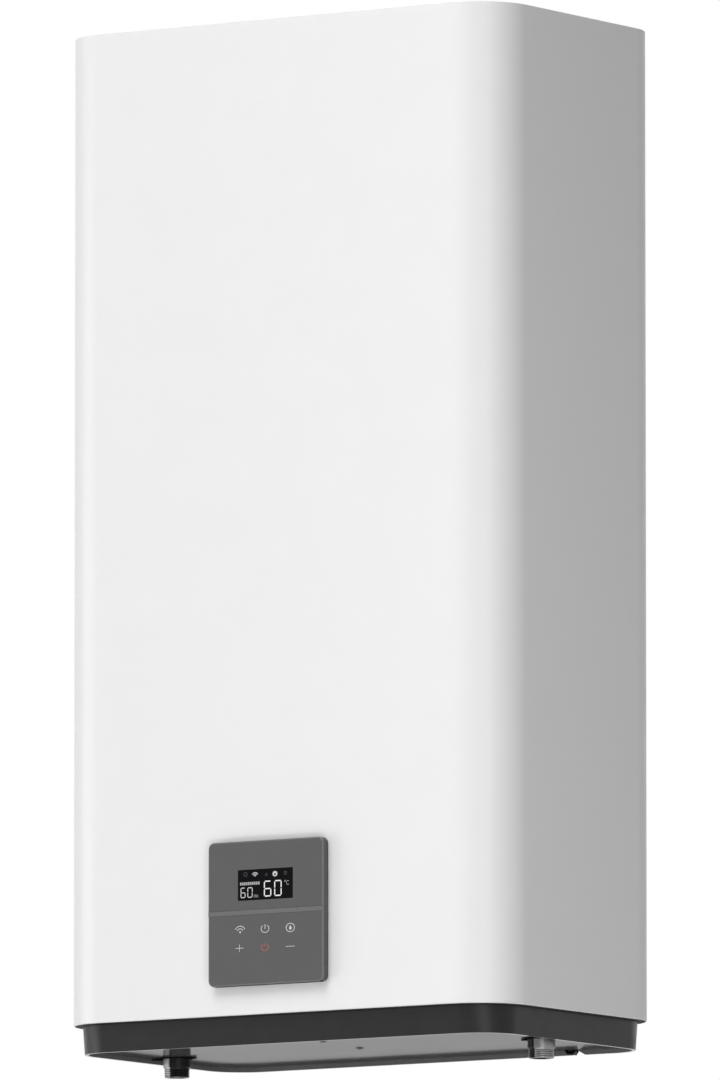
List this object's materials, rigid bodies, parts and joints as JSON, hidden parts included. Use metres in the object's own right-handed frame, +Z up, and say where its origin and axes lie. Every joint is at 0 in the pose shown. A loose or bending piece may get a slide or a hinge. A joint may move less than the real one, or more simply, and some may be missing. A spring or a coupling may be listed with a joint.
{
  "type": "electric storage water heater",
  "caption": "Flat wall-hung electric storage water heater: rounded white casing, dark skirt, recessed bottom plate, pipe ends below, small front control panel, inner tanks side by side.",
  "frame": {"origin": "middle of the upper wall rail's back face, where it meets the wall", "axes": "+Z up along the heater's height, +Y towards the wall, +X to the right seen from the front"},
  "size_m": [0.435, 0.2803, 0.8541],
  "materials": {
    "casing_white": "semi-gloss white enamel",
    "zinc_plate": "zinc plated",
    "skirt_grey": "satin dark grey moulding",
    "plate_grey": "satin light grey",
    "panel_grey": "satin grey",
    "display_black": "gloss black window",
    "black_plastic": "matt black",
    "button_red": "gloss red",
    "rubber_black": "matt",
    "foam": "rigid foam",
    "tank_enamel": "vitreous enamel",
    "pipe_steel": "plain steel",
    "copper": "copper",
    "magnesium": "cast magnesium",
    "white_plastic": "satin white",
    "board_green": "coated circuit board"
  },
  "bodies": {
    "heater": {"outer_casing": "casing_white", "top_cap": "casing_white", "back_panel": "zinc_plate", "upper_wall_rail": "zinc_plate", "lower_wall_rail": "zinc_plate", "plate_strap": "zinc_plate", "left_head": "zinc_plate", "right_head": "zinc_plate", "earth_stud": "zinc_plate", "left_head_bolt_1": "zinc_plate", "left_head_bolt_2": "zinc_plate", "left_head_bolt_3": "zinc_plate", "left_head_bolt_4": "zinc_plate", "right_head_bolt_1": "zinc_plate", "right_head_bolt_2": "zinc_plate", "right_head_bolt_3": "zinc_plate", "right_head_bolt_4": "zinc_plate", "bottom_skirt": "skirt_grey", "bottom_plate": "plate_grey", "panel_housing": "panel_grey", "panel_face": "panel_grey", "display_window": "display_black", "hot_pipe_collar": "black_plastic", "cold_pipe_collar": "black_plastic", "cable_gland": "black_plastic", "thermal_cutout": "black_plastic", "temperature_sensor_line": "black_plastic", "signal_cable": "black_plastic", "left_gasket": "rubber_black", "right_gasket": "rubber_black", "left_element_lead": "rubber_black", "right_element_lead": "rubber_black", "mains_lead": "rubber_black", "foam_insulation": "foam", "left_tank": "tank_enamel", "right_tank": "tank_enamel", "hot_pipe": "pipe_steel", "cold_pipe": "pipe_steel", "transfer_pipe": "pipe_steel", "plate_screw_middle": "pipe_steel", "plate_screw_front": "pipe_steel", "left_element": "copper", "right_element": "copper", "left_sensor_pocket": "copper", "right_sensor_pocket": "copper", "cutout_bulb_line": "copper", "left_anode": "magnesium", "right_anode": "magnesium", "electronics_box": "white_plastic", "electronics_lid": "white_plastic", "terminal_block": "white_plastic", "inlet_diffuser": "white_plastic", "hot_standpipe": "white_plastic", "power_board": "board_green", "display_board": "board_green"},
    "reset_button": {"cutout_reset_button": "button_red"}
  },
  "joints": [
    {"name": "reset_button_press", "type": "slide", "parent": "heater", "child": "reset_button", "axis": [0, 0, 1], "range_m": [0, 0.0018], "stiffness_N_per_m": 800, "springref_m": -0.002}
  ]
}
